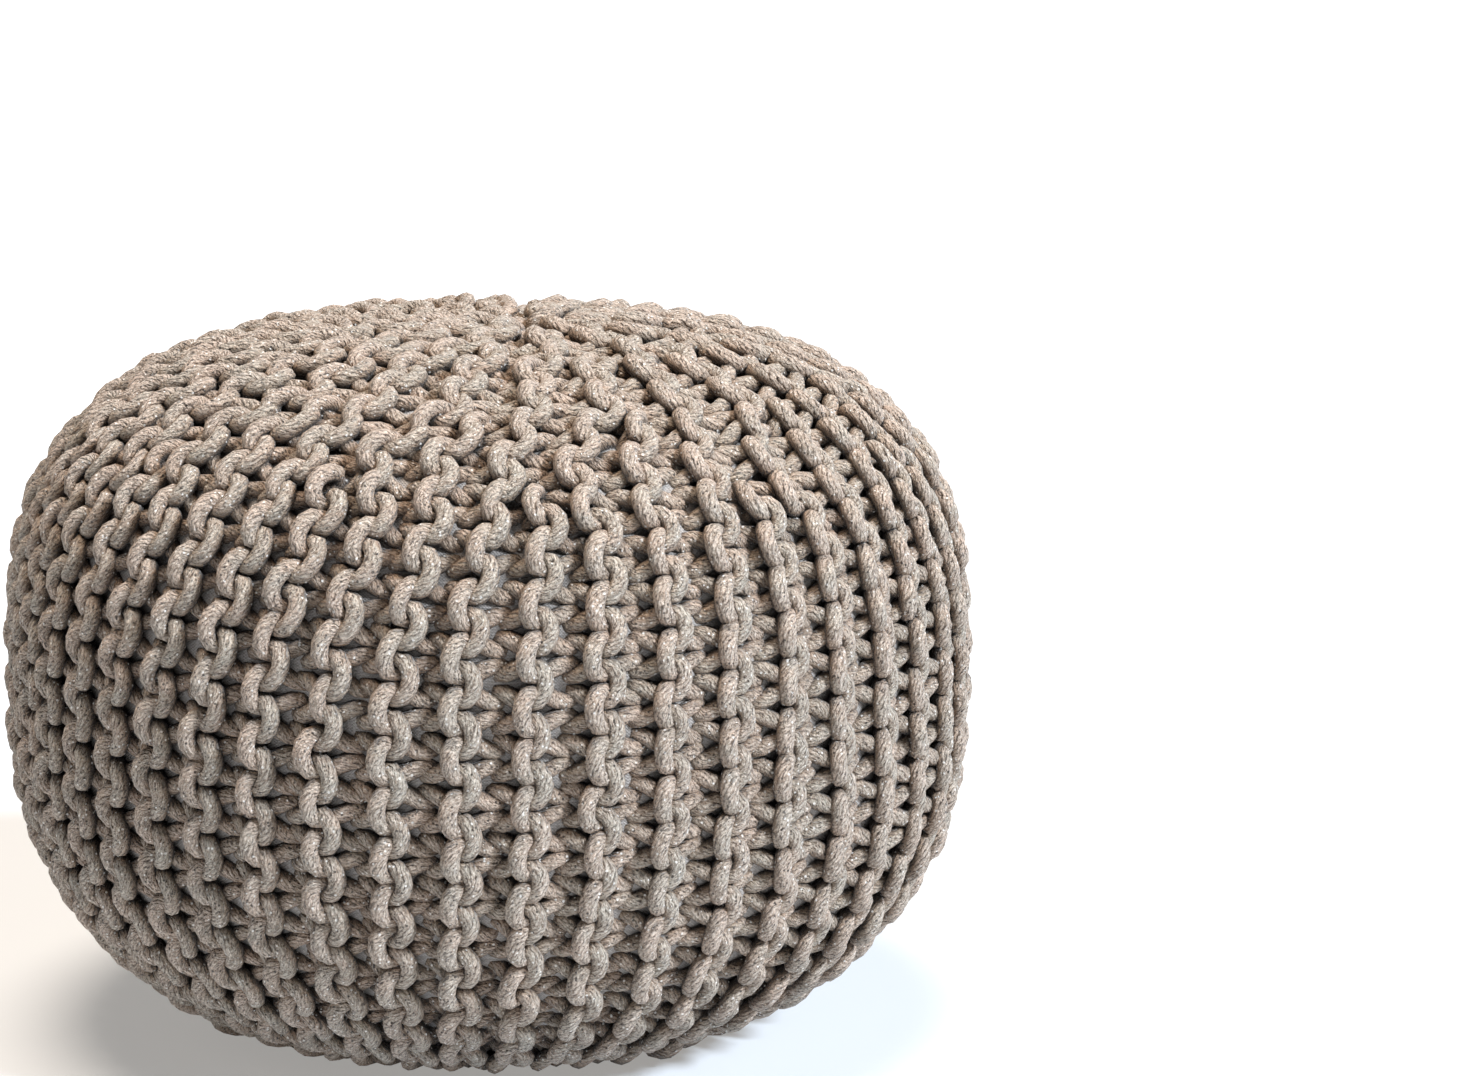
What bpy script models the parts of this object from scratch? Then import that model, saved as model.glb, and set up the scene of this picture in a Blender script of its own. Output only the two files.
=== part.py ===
"""Round knitted pouf: a garter-stitch cover of thick cotton cord, drawn in at both ends over a filled bag.

The cover is knitted sideways, so its ridges run from the top gather to the bottom one. Metres, +Z up, and the
origin is under the middle of the pouf, on the surface that it stands on.
"""

import itertools
import math

import bmesh
import bpy
from mathutils import Matrix, Vector

# Body: a squashed ball with a crown on top and a flat base where it stands.
BODY_RADIUS = 0.250
WIDEST_HEIGHT = 0.180  # of the widest ring above the floor
CROWN_RISE = 0.1885  # from the widest ring to the top
CROWN_ROUNDNESS = 2.9  # 2 is an ellipse, and more is squarer
BELLY_DEPTH = 0.195  # of the lower half, before the floor cuts it flat
BELLY_ROUNDNESS = 2.5

# Knit: each ridge is two rows of cord, and each course is one stitch along the ridge.
RIDGES = 48
COURSES = 26
BELLY_SHORTENING = 0.12  # of a course, round the belly, where the cover is stretched widest
SHORTENING_REACH = 0.19  # of the way from gather to gather, on each side of the middle
BASE_LENGTHENING = 0.20  # of a course, below the belly, where the cover is drawn down
LENGTHENING_START = 0.56  # of that way
LENGTHENING_END = 0.70
RIDGE_RELIEF = 0.008  # from a ridge's crest down to the valley beside it
COVER_THICKNESS = 0.0145
CREST_SHARE = 0.24  # of a ridge's pitch: the width of its crest
VALLEY_SHARE = 0.32  # of a ridge's pitch: the width of a valley's floor
RIDGE_PHASE = 0.15  # of a pitch: how far the first ridge lies from +X
GAP_SHARE = 0.50  # of a course: the height of an open gap between stitches
GAP_COURSES = range(11, 16)  # the stretched courses round the belly, where the bag shows through
CASING_CLEARANCE = 0.00035

# Unevenness: the cover sits askew on its filling, and its ridges lie closer together on one side.
KNIT_LEAN = math.radians(1.2)  # of the line between the gathers, towards +X at the top
KNIT_TILT = math.radians(3.2)  # of that line, towards -Y at the top
TOP_GATHER_SHIFT = Vector((0.016, -0.020, 0.0))  # of the top gather, on top of both
PITCH_UNEVENNESS = 0.09
LOOSEST_SIDE = 0.0  # the angle round from +X of the side where they lie furthest apart
RIDGE_SWAY = math.radians(0.3)

# Where each end is drawn in.
GATHER_DIMPLE = 0.009
CROWDED_PITCH = 0.016  # ridges closer together than this lose some of their relief
FLAT_CROWDING = 0.35  # of that pitch: ridges this close together have none
FLOOR_FADE = 0.030  # height over which the relief comes back above the flat base

# Rows of points, in courses from the top gather. The rows nearest each gather are smooth.
CROWN_STATIONS = (0.8, 2.2, 4.2, 5.8, 7.2, 8.5, 9.8)
BELLY_STATIONS = tuple(
    course + 0.5 + side * GAP_SHARE / 2 for course in GAP_COURSES for side in (-1, 1)
)
BASE_STATIONS = (17.0, 18.3, 19.6, 21.0, 22.4, 23.8, 25.2)
STATIONS = CROWN_STATIONS + BELLY_STATIONS + BASE_STATIONS
SMOOTH_STATIONS = CROWN_STATIONS[:1] + BASE_STATIONS[-3:]

CENTRE = Vector((0.0, 0.0, WIDEST_HEIGHT))
OUTLINE_STEPS = 2000  # along the outline from pole to pole, to measure its length
COURSE_PARTS = 100  # of a course, as finely as a station is given
COLOURS = {"cover_cord": (0.50, 0.44, 0.38, 1.0), "casing_cloth": (0.42, 0.42, 0.43, 1.0)}


def smooth_step(value):
    """0 to 1 with level ends, for fading a shape in."""
    share = min(max(value, 0.0), 1.0)
    return share * share * (3 - 2 * share)


def crown_or_belly(direction):
    """The height and roundness of the half of the body that a direction points into."""
    if direction.z >= 0:
        return CROWN_RISE, CROWN_ROUNDNESS
    return BELLY_DEPTH, BELLY_ROUNDNESS


def reach_and_slant(direction):
    """How far the body reaches along a unit direction, and the cosine between that and its normal."""
    height, roundness = crown_or_belly(direction)
    level = math.hypot(direction.x, direction.y)
    reach = ((level / BODY_RADIUS) ** roundness + (abs(direction.z) / height) ** roundness) ** (-1 / roundness)
    if direction.z < 0 and reach * -direction.z >= WIDEST_HEIGHT:
        return WIDEST_HEIGHT / -direction.z, -direction.z
    outward = (reach * level / BODY_RADIUS) ** (roundness - 1) / BODY_RADIUS
    upward = (reach * abs(direction.z) / height) ** (roundness - 1) / height
    slant = (outward * level + upward * abs(direction.z)) / math.hypot(outward, upward)
    return reach, slant


def body_point(direction, inset):
    """The point of the body along a direction, sunk below its surface by inset."""
    reach, slant = reach_and_slant(direction)
    point = CENTRE + direction * (reach - inset / slant)
    if inset == 0 and point.z < 1e-7:
        point.z = 0.0
    return point


def course_length(way_down):
    """How long a course is, compared with one of the crown, this share of the way down."""
    shorter = BELLY_SHORTENING * (1 - smooth_step(abs(way_down - 0.5) / SHORTENING_REACH))
    set_in = (way_down - LENGTHENING_START) / (LENGTHENING_END - LENGTHENING_START)
    longer = BASE_LENGTHENING * smooth_step(set_in)
    return 1 - shorter + longer


def running_total(amounts):
    """The sum of the amounts before each one, and of them all."""
    return [0.0, *itertools.accumulate(amounts)]


def profile_angles():
    """Polar angles down the body's outline, one for each part of a course."""
    angles = [math.pi * step / OUTLINE_STEPS for step in range(OUTLINE_STEPS + 1)]
    points = [body_point(Vector((math.sin(a), 0.0, math.cos(a))), 0.0) for a in angles]
    gaps = [(after - before).length for before, after in zip(points, points[1:])]
    ways_down = [length / sum(gaps) for length in running_total(gaps)]
    stitches = running_total(gap / course_length(way) for gap, way in zip(gaps, ways_down))
    spaced, step = [], 0
    for sample in range(COURSES * COURSE_PARTS + 1):
        wanted = stitches[-1] * sample / (COURSES * COURSE_PARTS)
        while step < OUTLINE_STEPS - 1 and stitches[step + 1] < wanted:
            step += 1
        share = (wanted - stitches[step]) / (stitches[step + 1] - stitches[step])
        spaced.append(angles[step] + share * (angles[step + 1] - angles[step]))
    return spaced


POLAR_ANGLES = profile_angles()


def knit_direction(ridge, station):
    """Unit direction from CENTRE of a place on the cover: which ridge round it, and how many courses down."""
    turn = 2 * math.pi * (ridge + RIDGE_PHASE) / RIDGES
    around = turn + PITCH_UNEVENNESS * math.sin(turn - LOOSEST_SIDE)
    around += RIDGE_SWAY * math.sin(5 * turn + 0.6 * station)
    polar = POLAR_ANGLES[round(station * COURSE_PARTS)]
    level = math.sin(polar)
    direction = Vector((level * math.cos(around), level * math.sin(around), math.cos(polar)))
    direction.rotate(Matrix.Rotation(KNIT_TILT, 3, "X") @ Matrix.Rotation(KNIT_LEAN, 3, "Y"))
    direction += smooth_step(math.cos(polar)) * TOP_GATHER_SHIFT / CROWN_RISE
    return direction.normalized()


def relief_at(ridge, station):
    """Depth of the valleys here: less where the ridges crowd together, and none where the pouf stands."""
    surface = body_point(knit_direction(ridge, station), 0.0)
    beside = body_point(knit_direction(ridge + 1, station), 0.0)
    crowding = smooth_step((surface - beside).length / CROWDED_PITCH - FLAT_CROWDING)
    return RIDGE_RELIEF * crowding * smooth_step(surface.z / FLOOR_FADE)


# The lines of points along each ridge, as shares of its pitch: the edges of its crest and of its valley.
CREST_LINES = (-CREST_SHARE / 2, CREST_SHARE / 2)
VALLEY_LINES = (0.5 - VALLEY_SHARE / 2, 0.5 + VALLEY_SHARE / 2)
MIDDLE_LINE = (sum(CREST_LINES + VALLEY_LINES) / 4,)


def add_row(mesh, station, lines, inset):
    """A ring of points along the given lines of every ridge, sunk by inset."""
    row = []
    for ridge in range(RIDGES):
        for line in lines:
            row.append(mesh.verts.new(body_point(knit_direction(ridge + line, station), inset)))
    return row


def add_ridged_row(mesh, station):
    """A ring of points over the crests and down in the valleys."""
    row = []
    for ridge in range(RIDGES):
        for line in CREST_LINES + VALLEY_LINES:
            inset = relief_at(ridge + line, station) if line in VALLEY_LINES else 0.0
            row.append(mesh.verts.new(body_point(knit_direction(ridge + line, station), inset)))
    return row


def add_back_row(mesh, station, inset):
    """A ring on the smooth back of the cover, or on the bag. By the gaps it has their corner points."""
    return add_row(mesh, station, VALLEY_LINES if station in BELLY_STATIONS else MIDDLE_LINE, inset)


def add_wall(mesh, upper, lower, outwards, left_open=()):
    """Faces between two rings. Where one ring has more points for each ridge than the other, they fan out."""
    count = max(len(upper), len(lower))
    for i in range(count):
        if i in left_open:
            continue
        following = (i + 1) % count
        upper_pair = (upper[i * len(upper) // count], upper[following * len(upper) // count])
        lower_pair = (lower[i * len(lower) // count], lower[following * len(lower) // count])
        # Both orders start at the same corner, so that bag and cover back split into the same triangles.
        corners = [upper_pair[0], lower_pair[0], lower_pair[1], upper_pair[1]]
        if not outwards:
            corners = [upper_pair[0], upper_pair[1], lower_pair[1], lower_pair[0]]
        mesh.faces.new([corner for n, corner in enumerate(corners) if corner is not corners[n - 1]])


def add_cap(mesh, ring, centre, outwards):
    """A fan from a ring to the gather's middle. outwards is for a ring that runs round the top."""
    for corner, following in zip(ring, ring[1:] + ring[:1]):
        fan = (centre, corner, following)
        mesh.faces.new(fan if outwards else reversed(fan))


def add_gap_sides(mesh, outer_rows, back_rows, ridge):
    """The four sides of one gap in the valley beside a ridge, from the front of the cover to its back."""
    front = [row[4 * ridge + side] for row, side in zip(outer_rows * 2, (2, 2, 3, 3))]
    back = [row[2 * ridge + side] for row, side in zip(back_rows * 2, (0, 0, 1, 1))]
    for corners in (front, back):
        corners[2:] = corners[:1:-1]
    for n in range(4):
        mesh.faces.new((front[n - 1], front[n], back[n], back[n - 1]))


def make_object(name, mesh):
    """Turns a bmesh into a named object with its material."""
    bmesh.ops.triangulate(mesh, faces=mesh.faces[:], quad_method="FIXED")
    data = bpy.data.meshes.new(name)
    mesh.to_mesh(data)
    mesh.free()
    data.shade_smooth()
    material = bpy.data.materials.new(name)
    material.use_nodes = True
    surface = material.node_tree.nodes["Principled BSDF"]
    surface.inputs["Base Color"].default_value = COLOURS["cover_cord" if "cover" in name else "casing_cloth"]
    surface.inputs["Roughness"].default_value = 0.95
    data.materials.append(material)
    made = bpy.data.objects.new(name, data)
    bpy.context.scene.collection.objects.link(made)
    return made


def pole_point(station, inset):
    """The middle of a gather, sunk in a dimple."""
    return body_point(knit_direction(0, station), inset)


def build_cover():
    """The knitted cover: ridges and valleys outside, a smooth back, and open gaps round the belly."""
    mesh = bmesh.new()
    first_gap_row = len(CROWN_STATIONS)
    gap_rows = range(first_gap_row, first_gap_row + len(BELLY_STATIONS), 2)
    front = []
    for station in STATIONS:
        is_smooth = station in SMOOTH_STATIONS
        front.append(add_row(mesh, station, MIDDLE_LINE, 0.0) if is_smooth else add_ridged_row(mesh, station))
    back = [add_back_row(mesh, station, COVER_THICKNESS) for station in STATIONS]
    for row in range(len(STATIONS) - 1):
        has_gaps = row in gap_rows
        add_wall(mesh, front[row], front[row + 1], True, range(2, 4 * RIDGES, 4) if has_gaps else ())
        add_wall(mesh, back[row], back[row + 1], False, range(0, 2 * RIDGES, 2) if has_gaps else ())
    for row in gap_rows:
        for ridge in range(RIDGES):
            add_gap_sides(mesh, front[row:row + 2], back[row:row + 2], ridge)
    add_cap(mesh, front[0], mesh.verts.new(pole_point(0, GATHER_DIMPLE)), True)
    add_cap(mesh, front[-1], mesh.verts.new(pole_point(COURSES, 0.0)), False)
    add_cap(mesh, back[0], mesh.verts.new(pole_point(0, COVER_THICKNESS)), False)
    add_cap(mesh, back[-1], mesh.verts.new(pole_point(COURSES, COVER_THICKNESS)), True)
    return make_object("knit_cover", mesh)


def build_casing():
    """The filled cloth bag inside, which shows grey through the gaps."""
    mesh = bmesh.new()
    inset = COVER_THICKNESS + CASING_CLEARANCE
    rows = [add_back_row(mesh, station, inset) for station in STATIONS]
    for upper, lower in zip(rows, rows[1:]):
        add_wall(mesh, upper, lower, True)
    add_cap(mesh, rows[0], mesh.verts.new(pole_point(0, inset)), True)
    add_cap(mesh, rows[-1], mesh.verts.new(pole_point(COURSES, inset)), False)
    return make_object("inner_casing", mesh)


for old in list(bpy.data.objects):
    bpy.data.objects.remove(old)
build_cover()
build_casing()
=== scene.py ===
from itertools import product
import math

import bpy
import numpy as np
from mathutils import Euler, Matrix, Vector


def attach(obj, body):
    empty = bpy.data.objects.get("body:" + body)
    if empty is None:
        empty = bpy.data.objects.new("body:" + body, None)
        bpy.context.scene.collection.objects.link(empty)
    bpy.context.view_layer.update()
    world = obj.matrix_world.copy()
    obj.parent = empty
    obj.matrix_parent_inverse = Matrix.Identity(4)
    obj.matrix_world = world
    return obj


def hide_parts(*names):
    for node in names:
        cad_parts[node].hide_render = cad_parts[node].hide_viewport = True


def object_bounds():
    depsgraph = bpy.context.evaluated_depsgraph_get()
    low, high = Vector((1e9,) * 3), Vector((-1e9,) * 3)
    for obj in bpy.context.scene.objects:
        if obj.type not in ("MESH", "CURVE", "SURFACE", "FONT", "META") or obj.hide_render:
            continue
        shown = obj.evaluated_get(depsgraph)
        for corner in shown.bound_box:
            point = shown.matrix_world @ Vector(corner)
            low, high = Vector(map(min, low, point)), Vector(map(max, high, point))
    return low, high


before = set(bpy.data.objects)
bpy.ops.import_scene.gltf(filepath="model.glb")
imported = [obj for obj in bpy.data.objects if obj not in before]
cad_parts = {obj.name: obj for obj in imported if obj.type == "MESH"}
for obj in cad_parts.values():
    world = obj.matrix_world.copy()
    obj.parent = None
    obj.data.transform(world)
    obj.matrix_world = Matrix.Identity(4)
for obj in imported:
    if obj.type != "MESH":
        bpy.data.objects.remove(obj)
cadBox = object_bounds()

# A round pouf in a cover of thick cotton cord. The cover is knitted sideways in garter stitch, so its rows
# run from the top gather to the bottom one, and each pair of rows makes one ridge. Metres throughout.
# Along is the way a row runs, across is round the pouf, from row to row, and out is away from the filling.
# A place on the knit is a ridge and a station, which counts courses down from the top gather.

boxLow, boxHigh = (np.array(corner) for corner in cadBox)
poufHeight = boxHigh[2] - boxLow[2]

body = {
    "radius": (boxHigh[0] - boxLow[0]) / 2,
    "widestHeight": 0.180,  # of the widest ring above the floor
    "crownRoundness": 2.9,  # 2 is an ellipse, and more is squarer
    "bellyDepth": 0.195,  # of the lower half, before the floor cuts it flat
    "bellyRoundness": 2.5,
    "floorSoftness": 0.004,  # how gently the belly turns into the flat base
    "lean": math.radians(1.2),  # of the line between the gathers, towards +X at the top
    "tilt": math.radians(3.2),  # of that line, towards -Y at the top
    "topShift": (0.016, -0.020),  # of the top gather, on top of both
}
body["crownRise"] = poufHeight - body["widestHeight"]

knit = {
    "ridges": 48,
    "courses": 26,  # stitches along a whole row
    "bellyShortening": 0.12,  # of a course, round the belly, where the cover is stretched widest
    "shorteningReach": 0.19,  # of the way down, on each side of the middle
    "baseLengthening": 0.20,  # of a course, below the belly, where the cover is drawn down
    "lengtheningPlaces": (0.56, 0.70),  # shares of the way down over which this sets in
    "ridgePhase": 0.15,  # of a ridge: where the first one lies, from +X
    "pitchUnevenness": 0.09,
    "loosestSide": 0.0,
    "sway": math.radians(0.3),  # how far the ridges weave from side to side
    "swayWaves": 5,  # round the pouf
    "swayDrift": 0.6,  # radians a course
    "rowGap": 0.01635,  # between rows at the widest ring
    "shares": (0.35, 0.5, 0.65, 0.8, 1.0, 1.2),  # of that gap, for which a stitch is worked out
}

cord = {
    "width": 0.0088,
    "crownSwell": 0.15,  # of its width: how much thicker it lies by the top gather, where it isn't stretched
    "crownRelief": 0.62,  # of its depth: how deep the knit is there, where it is pressed flat
    "crownReach": 9.0,  # courses from that gather
    "sides": 8,
    "stepsPerStitch": 20,
    "mapStep": 0.37,  # length of map between one row and the next, so that no two look the same
}


def smoothStep(value):
    share = np.clip(value, 0.0, 1.0)
    return share * share * (3 - 2 * share)


def distanceAlong(points):
    return np.concatenate([[0], np.cumsum(np.linalg.norm(np.diff(points, axis=0), axis=1))])


def surfaceAlong(direction):
    # The point of the pouf's smooth body that lies that way from the middle of its widest ring.
    level = np.hypot(direction[..., 0], direction[..., 1])
    height = direction[..., 2]
    isCrown = height >= 0
    rise = np.where(isCrown, body["crownRise"], body["bellyDepth"])
    roundness = np.where(isCrown, body["crownRoundness"], body["bellyRoundness"])
    size = (level / body["radius"]) ** roundness + (np.abs(height) / rise) ** roundness
    toSkin = size ** (-1 / roundness)
    toFloor = body["widestHeight"] / np.maximum(-height, 1e-3)  # level and rising ways stay far from it
    nearer = np.minimum(toSkin, toFloor)
    soft = body["floorSoftness"]
    reach = nearer - soft * np.log(np.exp((nearer - toSkin) / soft) + np.exp((nearer - toFloor) / soft))
    points = direction * reach[..., None]
    points[..., 2] = np.maximum(points[..., 2] + body["widestHeight"], 0.0)
    return points


def polarTable(steps=4000):
    # Angles from straight up, and how far down the outline each one meets it.
    angle = np.linspace(0, math.pi, steps)
    outline = surfaceAlong(np.stack([np.sin(angle), 0 * angle, np.cos(angle)], -1))
    return angle, distanceAlong(outline)


polarAngle, outlineLength = polarTable()


def courseTable():
    # How many courses lie above each of those places.
    wayDown = outlineLength / outlineLength[-1]
    shorter = knit["bellyShortening"] * (1 - smoothStep(np.abs(wayDown - 0.5) / knit["shorteningReach"]))
    start, end = knit["lengtheningPlaces"]
    longer = knit["baseLengthening"] * smoothStep((wayDown - start) / (end - start))
    lengths = 1 - shorter + longer
    stitches = np.concatenate([[0], np.cumsum(np.diff(outlineLength) / lengths[:-1])])
    return stitches * knit["courses"] / stitches[-1]


courseCount = courseTable()
# The length of the middle course, round the belly.
middleCourse = np.interp(knit["courses"] / 2 + np.array([-0.5, 0.5]), courseCount, outlineLength)
courseLength = middleCourse[1] - middleCourse[0]


def knitDirection(ridge, station):
    turn = 2 * math.pi * (ridge + knit["ridgePhase"]) / knit["ridges"]
    around = turn + knit["pitchUnevenness"] * np.sin(turn - knit["loosestSide"])
    around = around + knit["sway"] * np.sin(knit["swayWaves"] * turn + knit["swayDrift"] * station)
    polar = np.interp(station, courseCount, polarAngle)
    x = np.sin(polar) * np.cos(around)
    y = np.sin(polar) * np.sin(around)
    z = np.cos(polar)
    lean, tilt = body["lean"], body["tilt"]
    x, z = x * math.cos(lean) + z * math.sin(lean), z * math.cos(lean) - x * math.sin(lean)
    y, z = y * math.cos(tilt) - z * math.sin(tilt), z * math.cos(tilt) + y * math.sin(tilt)
    shift = smoothStep(np.cos(polar)) / body["crownRise"]
    x = x + shift * body["topShift"][0]
    y = y + shift * body["topShift"][1]
    direction = np.stack([x, y, z], -1)
    return direction / np.linalg.norm(direction, axis=-1, keepdims=True)


def surfaceAt(ridge, station):
    # A place on the knit: its point, the way out there, and how wide a whole ridge is.
    probe = 0.02  # of a ridge or a course, to each side
    station = np.clip(station, probe, knit["courses"] - probe)
    point = surfaceAlong(knitDirection(ridge, station))
    after = surfaceAlong(knitDirection(ridge + probe, station))
    before = surfaceAlong(knitDirection(ridge - probe, station))
    below = surfaceAlong(knitDirection(ridge, station + probe))
    above = surfaceAlong(knitDirection(ridge, station - probe))
    normal = np.cross(below - above, after - before)
    normal = normal / np.linalg.norm(normal, axis=-1, keepdims=True)
    pitch = np.linalg.norm(after - before, axis=-1) / (2 * probe)
    return point, normal, pitch


# A knit stitch and a purl stitch settle beside each other: the cord keeps its length and its thickness, its
# bends ease, and strands that touch push each other away.
loop = {
    "points": 16,
    "reach": 0.0129,  # half the loop's length across the row
    "swell": 0.14,  # of a course: how far the arcs bulge past the legs
    "depth": 0.006,  # how far in and out of the cloth it lies before it settles
    "levelness": 1.5,  # how long its arcs stay in front or behind before the legs pass through
    "slack": (1.11, 1.23),  # spare length of cord in a knit and a purl stitch
    "crowdedSlack": 0.28,  # how much more of it there is, as a share, where the rows close up
    "crowdedRise": 0.006,  # and how much further out its arcs are pushed there
    "stiffness": 0.3,
    "frontLimit": 0.0095,  # how far out the middle of the cord may lie
    "backLimit": -0.0080,  # and how far in
    "flatten": 0.86,  # of its depth, once it is stretched over the filling
    "headDrop": 0.0035,  # how much lower the knit row's heads lie than the purl row's feet
    "squash": 0.85,  # of the cord's width: how close two strands press together
    "rounds": 300,
    "push": 1.2,  # of half the average overlap: how far a round moves a strand off
    "nextPoints": 4,  # of its own loop, to each side, that don't count as touching
    "pullRounds": 6,
    "pull": 0.28,  # of what a step is too long or too short by, at each of its ends
}
loopTurn = np.arange(loop["points"]) * 2 * math.pi / loop["points"]
straightAlong = courseLength * loopTurn / (2 * math.pi)


def nextAlong(path, shift):
    # The stitch repeats along its row, so its ends meet the stitches before and after it.
    moved = np.roll(path, -shift, axis=1)
    if shift > 0:
        moved[:, -shift:, 1] += courseLength
    else:
        moved[:, :-shift, 1] -= courseLength
    return moved


def startLoops(rowGap):
    reach = loop["reach"] - (knit["rowGap"] - rowGap) / 2
    across = -reach * np.cos(loopTurn)
    along = courseLength * (loopTurn / (2 * math.pi) + loop["swell"] * np.sin(2 * loopTurn))
    lift = np.tanh(loop["levelness"] * np.cos(loopTurn)) / math.tanh(loop["levelness"]) * loop["depth"]
    return np.stack([np.stack([across, along, -lift], -1), np.stack([rowGap + across, along, lift], -1)])


def pushApart(path, rowGap):
    closest = cord["width"] * loop["squash"]
    index = np.arange(loop["points"])
    push = np.zeros_like(path)
    touching = np.zeros(path.shape[:2])
    for row, other, ridge, stitch in product((0, 1), (0, 1), (-1, 0, 1), (-2, -1, 0, 1, 2)):
        near = path[other] + np.array([ridge * 2 * rowGap, stitch * courseLength, 0.0])
        apart = path[row][:, None] - near[None]
        distance = np.linalg.norm(apart, axis=2) + 1e-9
        pressed = distance < closest
        if row == other and ridge == 0:
            pressed &= np.abs(index[:, None] - index[None] - stitch * loop["points"]) > loop["nextPoints"]
        amount = np.where(pressed, (closest - distance) / 2, 0.0)
        push[row] += (apart / distance[..., None] * amount[..., None]).sum(axis=1)
        touching[row] += pressed.sum(axis=1)
    return path + loop["push"] * push / np.maximum(touching, 1)[..., None]


def keepLength(path, stepLength):
    for _ in range(loop["pullRounds"]):
        step = nextAlong(path, 1) - path
        length = np.linalg.norm(step, axis=2, keepdims=True)
        pull = loop["pull"] * step * (1 - stepLength[:, None, None] / length)
        path = path + pull - np.roll(pull, 1, axis=1)
    return path


def easeBends(path):
    bend = (nextAlong(path, 1) + nextAlong(path, -1)) / 2 - path
    bendBeside = (np.roll(bend, 1, axis=1) + np.roll(bend, -1, axis=1)) / 2
    return path + loop["stiffness"] * (bend - bendBeside)


def finerLoop(path):
    # The same closed curve through more points, by its own harmonics.
    spectrum = np.fft.rfft(path, axis=1)
    steps = cord["stepsPerStitch"]
    return np.fft.irfft(spectrum, steps, axis=1) * steps / path.shape[1]


def settleStitch(share):
    # Both stitches, each an open loop of across, along and out, for rows this share of the usual gap apart.
    rowGap = knit["rowGap"] * share
    frontLimit = loop["frontLimit"] + loop["crowdedRise"] * max(0.0, 1 - share)
    slack = np.array(loop["slack"]) * (1 + loop["crowdedSlack"] * (1 - share))
    path = startLoops(rowGap)
    stepLength = np.linalg.norm(nextAlong(path, 1) - path, axis=2).mean(axis=1) * slack
    for _ in range(loop["rounds"]):
        path = pushApart(path, rowGap)
        path = keepLength(path, stepLength)
        path = easeBends(path)
        path[0, :, 2] = np.clip(path[0, :, 2], loop["backLimit"], frontLimit - loop["headDrop"])
        path[1, :, 2] = np.clip(path[1, :, 2], loop["backLimit"], frontLimit)
        path[..., 0] += np.array([[0.0], [rowGap]]) - path[..., 0].mean(axis=1, keepdims=True)
        path[..., 1] += (straightAlong - path[..., 1]).mean(axis=1, keepdims=True)
        path[..., 2] -= path[..., 2].mean()
    path[..., 2] *= loop["flatten"]
    path[1, :, 0] -= rowGap
    path[..., 1] -= straightAlong
    return finerLoop(path)


stitchForms = np.array([settleStitch(share) for share in knit["shares"]])
usualForm = knit["shares"].index(1.0)
outermost = stitchForms[usualForm, ..., 2].max()  # of the cord's middle
print("stitches settled:", len(knit["shares"]), "forms, each of a knit and a purl stitch")


def stitchAt(isPurl, inStitch, rowGap):
    # Steps of a stitch, blended between the two forms whose rows lie just closer and just wider than here.
    shares = np.array(knit["shares"])
    share = np.clip(rowGap / knit["rowGap"], shares[0], shares[-1])
    wider = np.clip(np.searchsorted(shares, share), 1, len(shares) - 1)
    closer = wider - 1
    blend = ((share - shares[closer]) / (shares[wider] - shares[closer]))[:, None]
    return stitchForms[closer, isPurl, inStitch] * (1 - blend) + stitchForms[wider, isPurl, inStitch] * blend


# Each stitch differs from a regular one by up to this much, either way.
unevenness = {
    "seed": 11,
    "across": 0.0016,
    "along": 0.0013,
    "out": 0.0009,
    "size": 0.08,
    "skew": 0.16,
    "thickness": 0.05,
    "ringWave": 0.10,  # courses: how far a course rises and falls on its way round
    "ringWaves": 3,
    "ringDrift": 0.5,  # radians a course
    "ringReach": 3,  # courses from a gather, where this has set in
}
chance = np.random.default_rng(unevenness["seed"])


def perStitch(rowCount, stitchCount):
    return chance.uniform(-1, 1, (rowCount, stitchCount + 2))


draws = {name: perStitch(2 * knit["ridges"], knit["courses"])
         for name in ("across", "along", "out", "size", "skew", "thickness")}


def drawAt(name, row, station):
    values = draws[name][row]
    whole = np.clip(np.floor(station).astype(int), 0, len(values) - 2)
    share = smoothStep(station - whole)
    return (values[whole] * (1 - share) + values[whole + 1] * share) * unevenness[name]


# The cover narrows towards each gather: three ridges in every four end on the way, and the rest close up.
ridgeEnds = {
    "fromTop": (0.05, 7.6, 2.8, 5.1),  # courses from the gather, for the ridges of each group of four
    "fromBottom": (0.15, 4.2, 1.9, 3.0),
    "crowdedOut": 0.8,  # courses by which every second of the last ridges ends sooner
    "scatter": 0.6,
    "spread": 1.5,  # courses over which the neighbours take up the room
    "leastRoom": 0.05,  # of a ridge's room, which the last of a group keeps
    "sink": 0.007,
    "sinkFrom": 0.6,  # share of a whole ridge, below which an ending one sinks
    "gatherDip": 0.007,
    "dipReach": 1.4,  # courses
}
groupSize = len(ridgeEnds["fromTop"])
endScatter = chance.uniform(-1, 1, (2, knit["ridges"] // groupSize, groupSize)) * ridgeEnds["scatter"]
endScatter[:, :, 0] = 0


def ridgeEnd(ridge, atBottom):
    group, member = divmod(ridge % knit["ridges"], groupSize)
    sooner = ridgeEnds["crowdedOut"] if member == 0 and group % 2 else 0.0
    regular = ridgeEnds["fromBottom" if atBottom else "fromTop"][member]
    return regular + sooner + endScatter[int(atBottom), group, member]


def ridgeShare(ridge, station):
    # 1 where a ridge is whole, fading to 0 where it has ended.
    fromTop = smoothStep((station - ridgeEnd(ridge, False)) / ridgeEnds["spread"])
    fromBottom = smoothStep((knit["courses"] - station - ridgeEnd(ridge, True)) / ridgeEnds["spread"])
    return np.minimum(fromTop, fromBottom)


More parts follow.
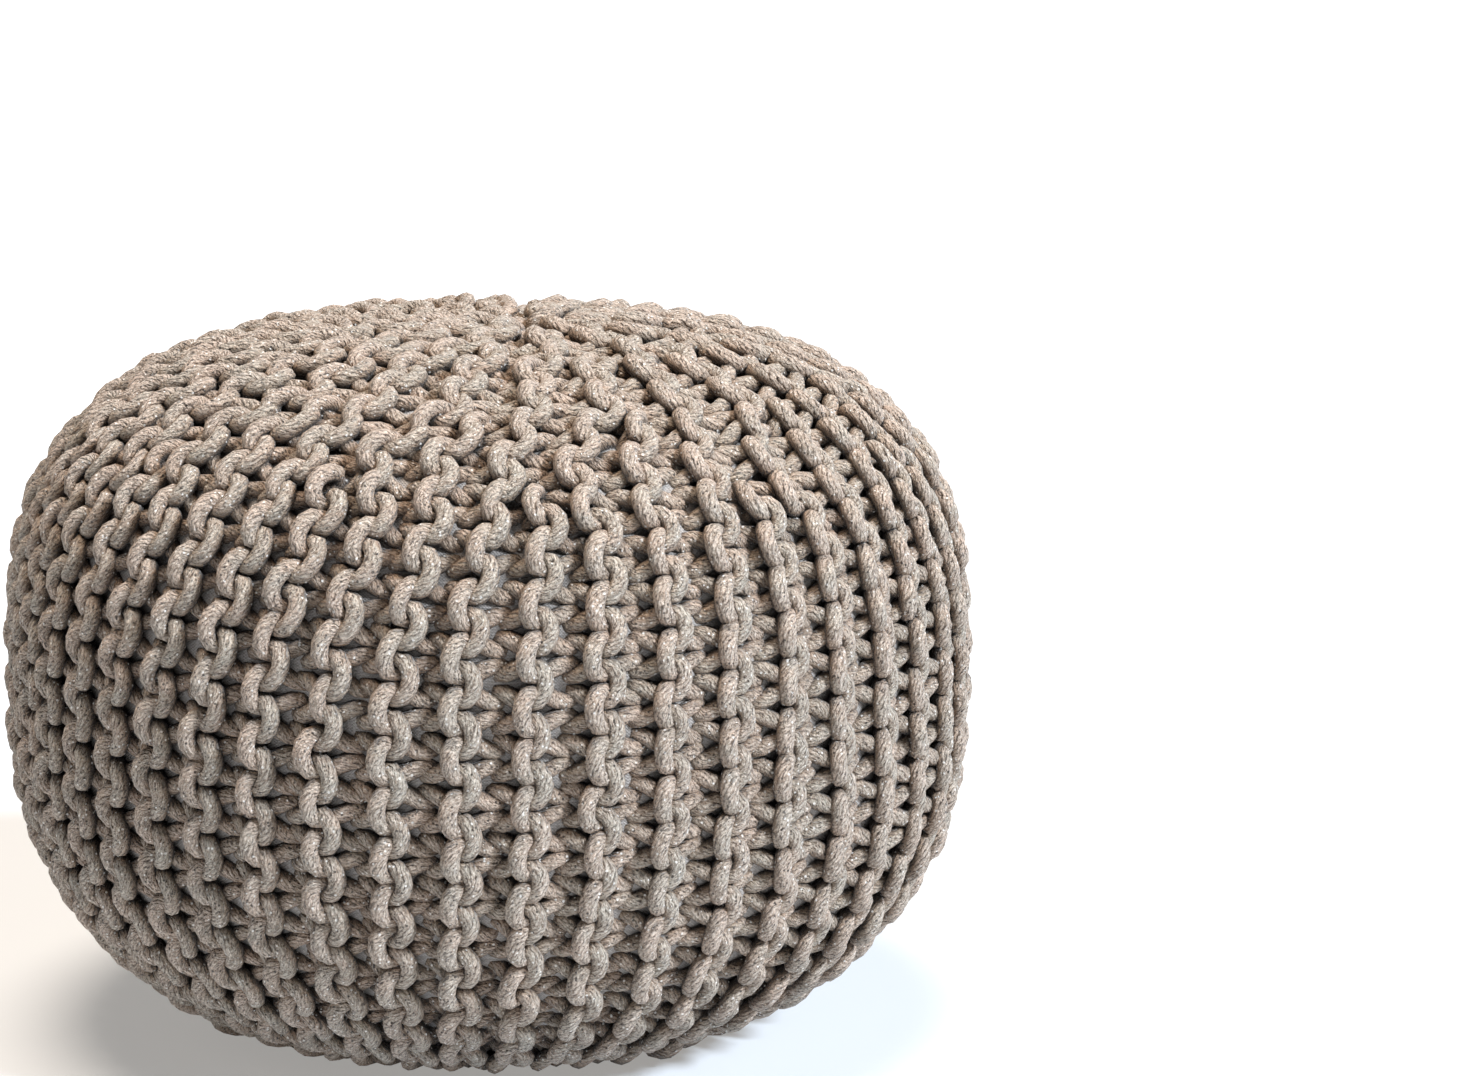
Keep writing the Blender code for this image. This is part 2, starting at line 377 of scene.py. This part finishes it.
def ridgePlace(ridge, station):
    # Where a ridge lies, and how many ridges' worth of room it has, once some of its group have ended.
    member = ridge % groupSize
    first = ridge - member
    shares = np.array([ridgeShare(first + other, station) for other in range(groupSize)])
    shares[0] = np.maximum(shares[0], ridgeEnds["leastRoom"])
    whole = shares.sum(axis=0)
    before = shares[:member].sum(axis=0)
    own = shares[member]
    return first + groupSize * (before + own / 2) / whole - 0.5, groupSize * own / whole


def rowPath(row):
    ridge, isPurl = divmod(row, 2)
    steps = cord["stepsPerStitch"]
    firstStep = int(ridgeEnd(ridge, False) * steps)
    lastStep = int((knit["courses"] - ridgeEnd(ridge, True)) * steps)
    step = np.arange(firstStep, lastStep + 1)
    station = step / steps
    fromGather = np.minimum(station, knit["courses"] - station)
    # The two rows of a ridge lie a quarter of its room to each side of its middle.
    place, room = ridgePlace(ridge, station)
    middle = place + (0.25 if isPurl else -0.25) * room
    _, _, pitch = surfaceAt(middle, station)
    form = stitchAt(isPurl, step % steps, pitch * room / 2)
    across = form[:, 0] * (1 + drawAt("size", row, station)) + drawAt("across", row, station)
    across = across + drawAt("skew", row, station) * form[:, 1]
    along = form[:, 1] + drawAt("along", row, station)
    # By the top gather the cord is thicker and the knit flatter.
    fromCrown = smoothStep(station / cord["crownReach"])
    relief = cord["crownRelief"] + (1 - cord["crownRelief"]) * fromCrown
    swell = cord["crownSwell"] * (1 - fromCrown)
    out = (form[:, 2] - outermost) * relief - cord["width"] / 2 + drawAt("out", row, station)
    out = out - ridgeEnds["sink"] * (1 - smoothStep(ridgeShare(ridge, station) / ridgeEnds["sinkFrom"]))
    out = out - ridgeEnds["gatherDip"] * (1 - smoothStep(fromGather / ridgeEnds["dipReach"]))
    around = 2 * math.pi * unevenness["ringWaves"] * middle / knit["ridges"]
    wave = unevenness["ringWave"] * np.sin(around + unevenness["ringDrift"] * station)
    wave = wave * smoothStep(fromGather / unevenness["ringReach"])
    point, normal, _ = surfaceAt(middle + across / pitch, station + wave + along / courseLength)
    width = cord["width"] * (1 + drawAt("thickness", row, station) + swell)
    path = point + normal * out[:, None]
    path[:, 2] = np.maximum(path[:, 2], width / 2)  # the base rests on the floor
    return path, normal, width


def tube(path, normal, width):
    sides = cord["sides"]
    tangent = np.gradient(path, axis=0)
    tangent /= np.linalg.norm(tangent, axis=1, keepdims=True)
    side = np.cross(tangent, normal)
    side /= np.linalg.norm(side, axis=1, keepdims=True)
    up = np.cross(side, tangent)
    angle = np.arange(sides) * 2 * math.pi / sides
    ring = side[:, None] * np.cos(angle)[None, :, None] + up[:, None] * np.sin(angle)[None, :, None]
    points = path[:, None] + ring * (width / 2)[:, None, None]
    length = distanceAlong(path)
    count = len(path)
    ringStart = np.arange(count - 1)[:, None] * sides
    here = np.arange(sides)[None]
    following = (here + 1) % sides
    quads = np.stack([ringStart + here, ringStart + following,
                      ringStart + sides + following, ringStart + sides + here], -1).reshape(-1, 4)
    # The map's first number is the share of a turn round the cord, and its second the length along it.
    aroundHere = np.broadcast_to(here / sides, (count - 1, sides))
    aroundNext = np.broadcast_to((here + 1) / sides, (count - 1, sides))
    lengthHere = np.broadcast_to(length[:-1, None], (count - 1, sides))
    lengthNext = np.broadcast_to(length[1:, None], (count - 1, sides))
    corners = np.stack([
        np.stack([aroundHere, lengthHere], -1), np.stack([aroundNext, lengthHere], -1),
        np.stack([aroundNext, lengthNext], -1), np.stack([aroundHere, lengthNext], -1),
    ], 2).reshape(-1, 2)
    return points.reshape(-1, 3), quads, corners


def addToScene(name, data):
    made = bpy.data.objects.new(name, data)
    bpy.context.scene.collection.objects.link(made)
    return made


def meshFrom(name, points, faces, corners, mapName):
    mesh = bpy.data.meshes.new(name)
    mesh.vertices.add(len(points))
    mesh.vertices.foreach_set("co", points.astype(np.float32).ravel())
    mesh.loops.add(faces.size)
    mesh.loops.foreach_set("vertex_index", faces.astype(np.int32).ravel())
    mesh.polygons.add(len(faces))
    mesh.polygons.foreach_set("loop_start", np.arange(len(faces), dtype=np.int32) * faces.shape[1])
    mesh.polygons.foreach_set("use_smooth", np.ones(len(faces), dtype=bool))
    mesh.update(calc_edges=True)
    mesh.uv_layers.new(name=mapName).data.foreach_set("uv", corners.astype(np.float32).ravel())
    mesh.validate()
    return addToScene(name, mesh)


cordUsed = []
stitchesMade = []


def buildCordSector(number, rows):
    allPoints, allQuads, allCorners = [], [], []
    start = 0
    for row in rows:
        points, quads, corners = tube(*rowPath(row))
        cordUsed.append(corners[:, 1].max())
        stitchesMade.append(len(points) / cord["sides"] / cord["stepsPerStitch"])
        allPoints.append(points)
        allQuads.append(quads + start)
        corners[:, 1] += row * cord["mapStep"]
        # A purl row's map lies one whole turn further round, which tells the finish which row it is on.
        corners[:, 0] += row % 2
        allCorners.append(corners)
        start += len(points)
    points, quads, corners = (np.concatenate(parts) for parts in (allPoints, allQuads, allCorners))
    return meshFrom(f"cord_rows_{number + 1}", points, quads, corners, "cordMap")


sectors = 6
rowsPerSector = 2 * knit["ridges"] // sectors
cordPieces = [buildCordSector(number, range(number * rowsPerSector, (number + 1) * rowsPerSector))
              for number in range(sectors)]
print("cord rows built:", [len(piece.data.polygons) * 2 for piece in cordPieces], "triangles,",
      round(sum(cordUsed)), "m of cord,", round(sum(stitchesMade)), "stitches")


casing = {
    "depth": 0.0136,  # below the cover's outermost cord
    "around": 192,
    "down": 96,
    "bulge": 0.0008,  # of the cloth into each stitch
    "poleGap": 0.12,  # courses between each gather and the ring next to it
}


def buildCasing():
    wide = casing["around"]
    around = np.arange(wide) * knit["ridges"] / wide
    down = np.linspace(casing["poleGap"], knit["courses"] - casing["poleGap"], casing["down"])
    ridge, station = np.meshgrid(around, down)
    point, normal, _ = surfaceAt(ridge, station)
    puff = np.sin(2 * math.pi * ridge) * np.sin(2 * math.pi * station) * casing["bulge"]
    grid = point + normal * (puff - casing["depth"])[..., None]
    poles = np.array([grid[0].mean(axis=0), grid[-1].mean(axis=0)])
    points = np.concatenate([grid.reshape(-1, 3), poles])
    top, bottom = len(points) - 2, len(points) - 1
    faces = []
    for row in range(casing["down"] - 1):
        above, below = row * wide, (row + 1) * wide
        for place in range(wide):
            following = (place + 1) % wide
            faces.append((above + place, below + place, below + following, above + following))
    last = (casing["down"] - 1) * wide
    for place in range(wide):
        following = (place + 1) % wide
        faces.append((top, place, following))
        faces.append((bottom, last + following, last + place))
    mesh = bpy.data.meshes.new("filled_bag")
    mesh.from_pydata(points.tolist(), [], faces)
    mesh.polygons.foreach_set("use_smooth", np.ones(len(faces), dtype=bool))
    return addToScene("filled_bag", mesh)


filledBag = buildCasing()
print("bag built")


class Nodes:
    def __init__(self, name):
        self.material = bpy.data.materials.new(name)
        self.material.use_nodes = True
        self.tree = self.material.node_tree
        self.place = self.add("ShaderNodeTexCoord").outputs["Object"]

    def add(self, kind, settings=None, **sockets):
        node = self.tree.nodes.new(kind)
        for key, value in (settings or {}).items():
            setattr(node, key, value)
        for key, value in sockets.items():
            self.feed(node.inputs[key], value)
        return node

    def feed(self, socket, value):
        if isinstance(value, bpy.types.NodeSocket):
            self.tree.links.new(value, socket)
        else:
            socket.default_value = value

    def finish(self, sockets):
        for key, value in sockets.items():
            self.feed(self.tree.nodes["Principled BSDF"].inputs[key], value)
        return self.material

    def math(self, operation, first, second=0.0):
        node = self.add("ShaderNodeMath", {"operation": operation})
        self.feed(node.inputs[0], first)
        self.feed(node.inputs[1], second)
        return node.outputs[0]

    def plus(self, first, second):
        return self.math("ADD", first, second)

    def times(self, first, second):
        return self.math("MULTIPLY", first, second)

    def noise(self, place, scale, detail=2.0, roughness=0.5):
        node = self.add("ShaderNodeTexNoise", Vector=place, Scale=scale, Detail=detail, Roughness=roughness)
        return node.outputs[0]

    def mix(self, share, first, second, blend="MIX"):
        settings = {"data_type": "RGBA", "blend_type": blend}
        return self.add("ShaderNodeMix", settings, Factor=share, A=first, B=second).outputs["Result"]

    def ramp(self, value, low, high):
        # 0 on low's side and 1 on high's side, with a smooth change between them.
        node = self.add("ShaderNodeMapRange", {"interpolation_type": "SMOOTHSTEP"}, Value=value)
        node.inputs["From Min"].default_value = low
        node.inputs["From Max"].default_value = high
        return node.outputs["Result"]

    def spread(self, value, low, high):
        # From low at 0 to high at 1.
        node = self.add("ShaderNodeMapRange", Value=value)
        node.inputs["To Min"].default_value = low
        node.inputs["To Max"].default_value = high
        return node.outputs["Result"]

    def layer(self, tone, colour, share, pattern, low, high):
        # Up to this share of a colour, as the pattern goes from low to high.
        return self.mix(self.times(self.ramp(pattern, low, high), share), tone, colour)

    def openness(self, reach):
        # 1 in the open, and less in hollows and between strands. The finishes use it to paint shade into
        # their colour.
        return self.add("ShaderNodeAmbientOcclusion", {"samples": 4}, Distance=reach).outputs["AO"]

    def relief(self, height, depth, strength=1.0):
        return self.add("ShaderNodeBump", Strength=strength, Distance=depth, Height=height).outputs[0]


paintedShadeReach = 0.018  # how far from a strand its neighbours darken it with painted shade

cordFinish = {
    "body": (0.56, 0.472, 0.395, 1),
    "warm": (0.62, 0.475, 0.385, 1),
    "cool": (0.48, 0.47, 0.41, 1),
    "purl": (0.61, 0.49, 0.405, 1),
    "knit": (0.50, 0.465, 0.395, 1),
    "pale": (0.77, 0.69, 0.605, 1),
    "shade": (0.31, 0.245, 0.19, 1),
    "paintedShadeTint": (0.80, 0.64, 0.50, 1),  # painted shade: the warm brown tint of places that neighbouring strands close in
    # for the painted shade in the grooves between strands, and for dark fibres
    "dark": (0.075, 0.055, 0.042, 1),
    # painted shade, nearly black, where neighbouring strands close in most
    "paintedHollowShade": (0.016, 0.011, 0.008, 1),
    # painted glints: light flecks for the glints of light on single fibres
    "paintedGlint": (0.95, 0.93, 0.89, 1),
    "fleckDark": (0.03, 0.024, 0.02, 1),
    "rowContrast": 0.6,  # between knit rows and purl rows
    "strandsAround": 11,
    "strandPitch": 0.046,  # length of cord in which a strand goes once round
    "strandWobble": 16.0,  # radians
    "wobbleScale": 160.0,
    "fibreScale": 1000.0,
    "fibreStretch": 0.8,
    "tuftScale": 520.0,
    "fluffScale": 800.0,
    "patchScale": 55.0,
    "fleckScale": 560.0,
    "fleckSize": 0.34,  # of the room between flecks
    "lightFrom": 0.90,  # of all places for a fleck, the last tenth has a light one
    "darkUpTo": 0.11,  # and the first ninth a dark one
    "reliefDepth": 0.0022,
    "sheen": 0.2,
    "sheenRoughness": 0.5,
    "specular": 0.3,
}


def cordMaterial():
    nodes = Nodes("cotton_cord")
    place = nodes.place
    uv = nodes.add("ShaderNodeUVMap", {"uv_map": "cordMap"}).outputs[0]
    around, length = nodes.add("ShaderNodeSeparateXYZ", Vector=uv).outputs[:2]
    isPurl = nodes.math("GREATER_THAN", around, 1.0)

    # Places on the cord, unrolled along its twist and shortened, so that what is drawn there comes out
    # as fibres.
    twist = nodes.plus(around, nodes.math("DIVIDE", length, cordFinish["strandPitch"]))
    angle = nodes.times(twist, 2 * math.pi)
    radius = cord["width"] / 2
    alongTwist = nodes.add(
        "ShaderNodeCombineXYZ",
        X=nodes.times(nodes.math("COSINE", angle), radius),
        Y=nodes.times(nodes.math("SINE", angle), radius),
        Z=nodes.times(length, cordFinish["fibreStretch"]),
    ).outputs[0]

    # Strands, with a groove between each two.
    wobble = nodes.times(nodes.noise(place, cordFinish["wobbleScale"]), cordFinish["strandWobble"])
    phase = nodes.plus(nodes.times(angle, cordFinish["strandsAround"]), wobble)
    strand = nodes.plus(nodes.times(nodes.math("SINE", phase), 0.5), 0.5)
    groove = nodes.math("POWER", nodes.math("SUBTRACT", 1.0, strand), 3.0)

    fibre = nodes.noise(alongTwist, cordFinish["fibreScale"], roughness=0.6)
    tuft = nodes.noise(alongTwist, cordFinish["tuftScale"], detail=3.0, roughness=0.65)
    fluff = nodes.noise(place, cordFinish["fluffScale"], detail=3.0, roughness=0.7)
    patch = nodes.noise(place, cordFinish["patchScale"])
    grooveShade = nodes.times(groove, nodes.ramp(fluff, 0.38, 0.58))

    rowColour = nodes.mix(isPurl, cordFinish["knit"], cordFinish["purl"])
    tone = nodes.mix(cordFinish["rowContrast"], cordFinish["body"], rowColour)
    tone = nodes.mix(nodes.ramp(tuft, 0.38, 0.58), cordFinish["shade"], tone)
    tone = nodes.layer(tone, cordFinish["warm"], 0.50, patch, 0.50, 0.66)
    tone = nodes.layer(tone, cordFinish["cool"], 0.40, patch, 0.50, 0.36)
    tone = nodes.layer(tone, cordFinish["pale"], 0.65, fibre, 0.50, 0.64)
    tone = nodes.layer(tone, cordFinish["shade"], 0.80, fluff, 0.50, 0.38)
    # Painted shade in the grooves between strands, broken up by the fluff.
    tone = nodes.mix(nodes.times(grooveShade, 0.5), tone, cordFinish["dark"])
    tone = nodes.layer(tone, cordFinish["dark"], 0.85, fibre, 0.44, 0.34)

    # Painted shade: where neighbouring strands close in, the tone is tinted warm brown, then darkened nearly
    # to black.
    openness = nodes.openness(paintedShadeReach)
    shadeTinted = nodes.mix(1.0, tone, cordFinish["paintedShadeTint"], "MULTIPLY")
    tone = nodes.mix(nodes.ramp(openness, 0.90, 0.40), tone, shadeTinted)
    tone = nodes.layer(tone, cordFinish["paintedHollowShade"], 0.95, openness, 0.60, 0.20)

    # Light flecks, which are painted glints, and dark flecks.
    speck = nodes.add("ShaderNodeTexVoronoi", Vector=place, Scale=cordFinish["fleckScale"])
    chosen = nodes.add("ShaderNodeSeparateColor", Color=speck.outputs["Color"]).outputs[0]
    close = nodes.math("LESS_THAN", speck.outputs["Distance"], cordFinish["fleckSize"])
    light = nodes.times(close, nodes.math("GREATER_THAN", chosen, cordFinish["lightFrom"]))
    tone = nodes.mix(nodes.times(light, 0.7), tone, cordFinish["paintedGlint"])
    dark = nodes.times(close, nodes.math("LESS_THAN", chosen, cordFinish["darkUpTo"]))
    tone = nodes.mix(nodes.times(dark, 0.8), tone, cordFinish["fleckDark"])

    height = nodes.math("SUBTRACT", nodes.times(tuft, 1.2), nodes.times(groove, 0.30))
    height = nodes.plus(height, nodes.times(fluff, 0.8))
    height = nodes.plus(height, nodes.times(fibre, 0.6))
    return nodes.finish({
        "Base Color": tone,
        "Normal": nodes.relief(height, cordFinish["reliefDepth"]),
        "Roughness": nodes.spread(fluff, 0.75, 1.0),
        "Sheen Weight": cordFinish["sheen"],
        "Sheen Roughness": cordFinish["sheenRoughness"],
        "Specular IOR Level": cordFinish["specular"],
    })


clothFinish = {
    "body": (0.43, 0.405, 0.385, 1),
    "thread": (0.29, 0.27, 0.255, 1),
    # painted shade, for the cloth where the cords close in over it
    "paintedClothShade": (0.03, 0.025, 0.02, 1),
    "threads": 1400,  # a metre
    "threadWobble": 4.0,  # radians
    "wobbleScale": 60.0,
    "grainScale": 700.0,
    "reliefDepth": 0.0003,
}


def clothMaterial():
    nodes = Nodes("bag_cloth")
    wobble = nodes.times(nodes.noise(nodes.place, clothFinish["wobbleScale"]), clothFinish["threadWobble"])
    waves = []
    for axis in nodes.add("ShaderNodeSeparateXYZ", Vector=nodes.place).outputs:
        along = nodes.times(axis, clothFinish["threads"] * math.pi)
        waves.append(nodes.math("SINE", nodes.plus(along, wobble)))
    weave = nodes.times(nodes.plus(waves[0], waves[1]), waves[2])
    grain = nodes.noise(nodes.place, clothFinish["grainScale"], detail=3.0)
    threadTone = nodes.ramp(nodes.plus(nodes.times(weave, 0.2), grain), 0.3, 0.8)
    tone = nodes.mix(threadTone, clothFinish["thread"], clothFinish["body"])
    # Painted shade where the cords close in over the cloth.
    tone = nodes.layer(tone, clothFinish["paintedClothShade"], 0.92, nodes.openness(paintedShadeReach), 0.36, 0.12)
    return nodes.finish({
        "Base Color": tone,
        "Normal": nodes.relief(nodes.plus(weave, grain), clothFinish["reliefDepth"], 0.5),
        "Roughness": nodes.spread(grain, 0.85, 1.0),
    })


cordCotton = cordMaterial()
bagCloth = clothMaterial()
for piece in cordPieces:
    piece.data.materials.append(cordCotton)
    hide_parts("knit_cover")
    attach(piece, "root")
filledBag.data.materials.append(bagCloth)
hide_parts("inner_casing")
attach(filledBag, "root")
print("finishes applied")


stage = {
    "floorSize": 200.0,
    "floor": (0.48, 0.53, 0.585, 1),
    "floorCloud": (0.50, 0.55, 0.605, 1),
    "cloudScale": 1.5,
    "floorGlow": (1.0, 0.97, 0.93, 1),  # the floor glows as well, so that shadows on it stay pale
    "glowStrength": 0.33,
    "sky": (1.0, 0.97, 0.94, 1),
    "skyStrength": 0.05,
}

lamps = {
    "key": {
        "from": (1.35, -0.95, 1.25),
        "softness": math.radians(12),
        "strength": 6.0,
        "colour": (0.86, 0.925, 1.0),
    },
    "top": {
        "from": (-0.12, 0.02, 1.6),
        "softness": math.radians(26),
        "strength": 4.0,
        "colour": (1.0, 0.83, 0.68),
    },
}

view = {
    "elevation": math.radians(12.0),
    "distance": 1.75,
    "photoWidth": 1480,
    "photoHeight": 1076,
    "focalPixels": 3343,
    "poufColumn": 494.0,  # where the middle of the widest ring lies in the photograph
    "poufRow": 665.6,
    "sensorWidth": 36.0,  # millimetres
    "farthest": 100.0,  # that the camera sees
}


def buildFloor():
    half = stage["floorSize"] / 2
    mesh = bpy.data.meshes.new("floor")
    corners = [(-half, -half, 0), (half, -half, 0), (half, half, 0), (-half, half, 0)]
    mesh.from_pydata(corners, [], [(0, 1, 2, 3)])
    nodes = Nodes("pale_floor")
    cloud = nodes.noise(nodes.place, stage["cloudScale"])
    mesh.materials.append(nodes.finish({
        "Base Color": nodes.mix(cloud, stage["floor"], stage["floorCloud"]),
        "Roughness": 0.9,
        "Emission Color": stage["floorGlow"],
        "Emission Strength": stage["glowStrength"],
    }))
    addToScene("floor", mesh)


def buildLamps():
    for name, lamp in lamps.items():
        light = bpy.data.lights.new(name, "SUN")
        light.energy = lamp["strength"]
        light.angle = lamp["softness"]
        light.color = lamp["colour"]
        placed = addToScene(name, light)
        placed.location = lamp["from"]
        placed.rotation_euler = (-placed.location).to_track_quat("-Z", "Y").to_euler()


def buildCamera():
    data = bpy.data.cameras.new("camera")
    data.sensor_width = view["sensorWidth"]
    data.lens = view["focalPixels"] * data.sensor_width / view["photoWidth"]
    data.clip_end = view["farthest"]
    camera = addToScene("camera", data)
    aim = Vector((0, 0, body["widestHeight"]))
    away = Vector((0, -math.cos(view["elevation"]), math.sin(view["elevation"]))) * view["distance"]
    camera.location = aim + away
    # The pouf stands left of and below the picture's middle, so the camera looks past it. It is turned in
    # small steps until it sees the pouf there.
    wanted = Vector((view["poufColumn"] - view["photoWidth"] / 2, view["photoHeight"] / 2 - view["poufRow"],
                     -view["focalPixels"])).normalized()
    pitch, yaw = math.pi / 2 - view["elevation"], 0.0
    for _ in range(8):
        seen = Euler((pitch, 0, yaw)).to_quaternion() @ wanted
        pitch += math.asin(-away.normalized().z) - math.asin(seen.z)
        yaw += math.atan2(seen.x, seen.y)
    camera.rotation_euler = (pitch, 0, yaw)
    bpy.context.scene.camera = camera


buildFloor()
buildLamps()
buildCamera()
world = bpy.data.worlds.new("studio")
world.use_nodes = True
world.node_tree.nodes["Background"].inputs["Color"].default_value = stage["sky"]
world.node_tree.nodes["Background"].inputs["Strength"].default_value = stage["skyStrength"]
bpy.context.scene.world = world
bpy.context.scene.view_settings.view_transform = "Standard"
print("stage set")
